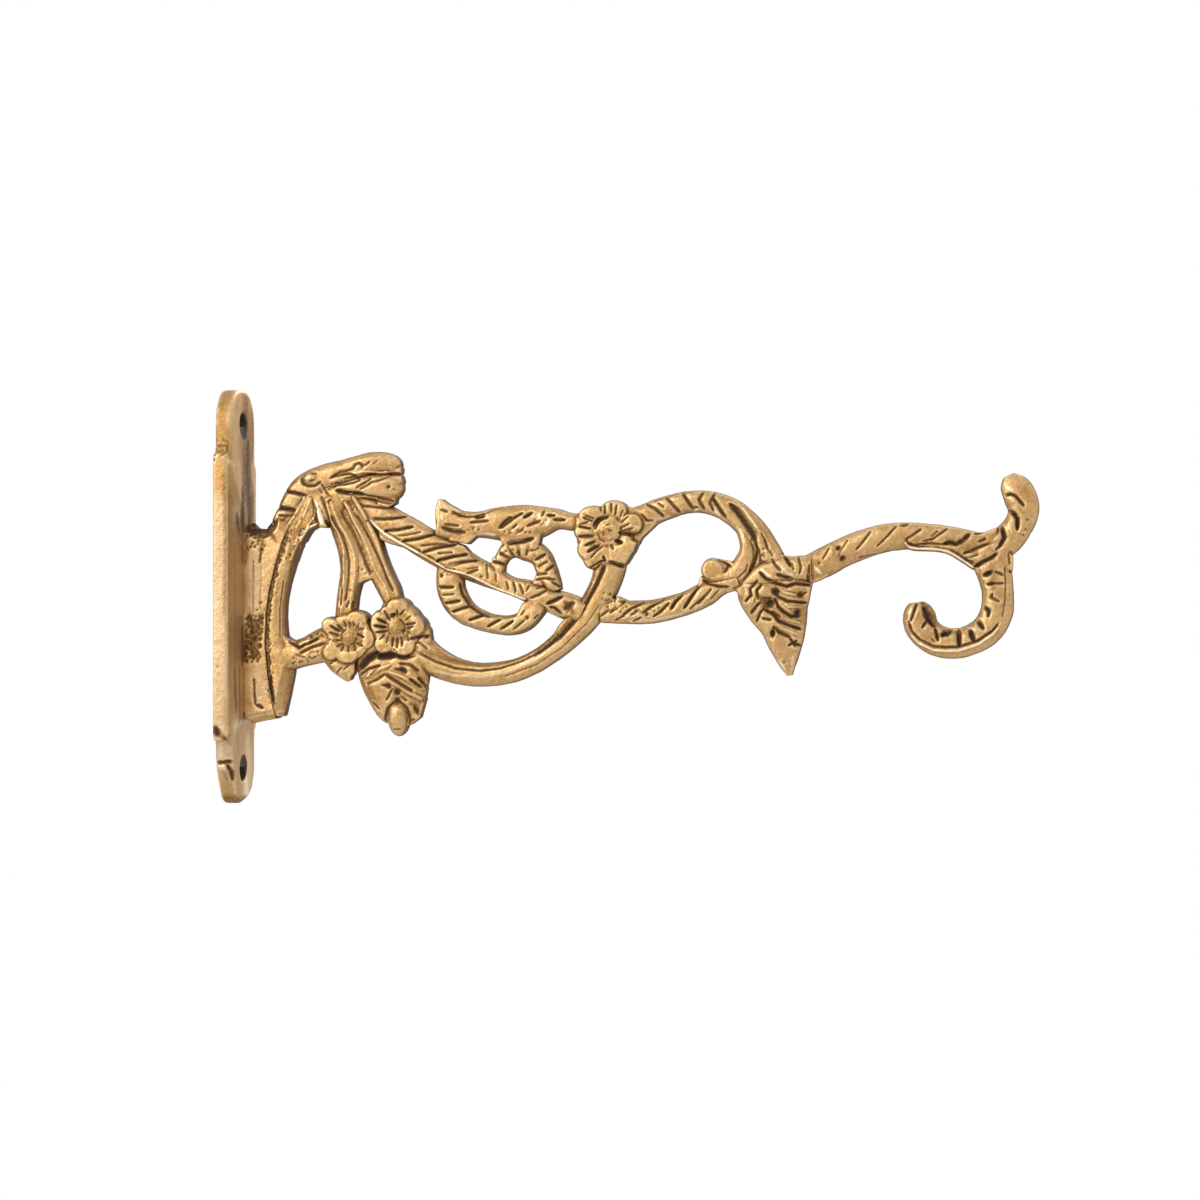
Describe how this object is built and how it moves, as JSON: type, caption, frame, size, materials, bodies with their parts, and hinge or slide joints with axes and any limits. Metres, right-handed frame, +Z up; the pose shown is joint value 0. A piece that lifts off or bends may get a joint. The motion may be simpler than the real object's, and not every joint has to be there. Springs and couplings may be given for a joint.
{
  "type": "wall bracket",
  "caption": "Openwork cast brass wall bracket: a narrow screw plate, a long arm of rope stems, leaves and flowers, and a curled hook at its end.",
  "frame": {"origin": "middle of the plate's back face, on the wall", "axes": "+X out from the wall along the arm, +Y along the wall to the right of someone who looks out from it, +Z up"},
  "size_m": [0.1976, 0.026, 0.1014],
  "materials": {
    "cast_brass": "sand-cast, buffed on the high spots, dark antique wash left in the grooves",
    "plate_brass": "sand-cast, filed flat, antique brown wash",
    "screw_steel": "plain zinc-plated steel"
  },
  "bodies": {
    "root": {"back_plate": "plate_brass", "arm_fixing_screws": "screw_steel", "arm_foot": "cast_brass", "root_rib": "cast_brass", "crown_leaf_upper": "cast_brass", "crown_leaf_lower": "cast_brass", "middle_stem_left": "cast_brass", "middle_stem_right": "cast_brass", "cross_branch": "cast_brass", "flower_lower_left": "cast_brass", "flower_lower_right": "cast_brass", "leaf_tip": "cast_brass", "leaf_drop": "cast_brass", "leaf_bud": "cast_brass", "rope_band": "cast_brass", "rope_scroll": "cast_brass", "scroll_loop": "cast_brass", "tail_leaf": "cast_brass", "curved_stem": "cast_brass", "flower_centre": "cast_brass", "rope_arch": "cast_brass", "inner_curl": "cast_brass", "ball_terminal": "cast_brass", "lower_rope": "cast_brass", "calyx_collar": "cast_brass", "leaf_pendant": "cast_brass", "hook_bar": "cast_brass", "hook_curl": "cast_brass", "hook_tail": "cast_brass"}
  },
  "joints": []
}
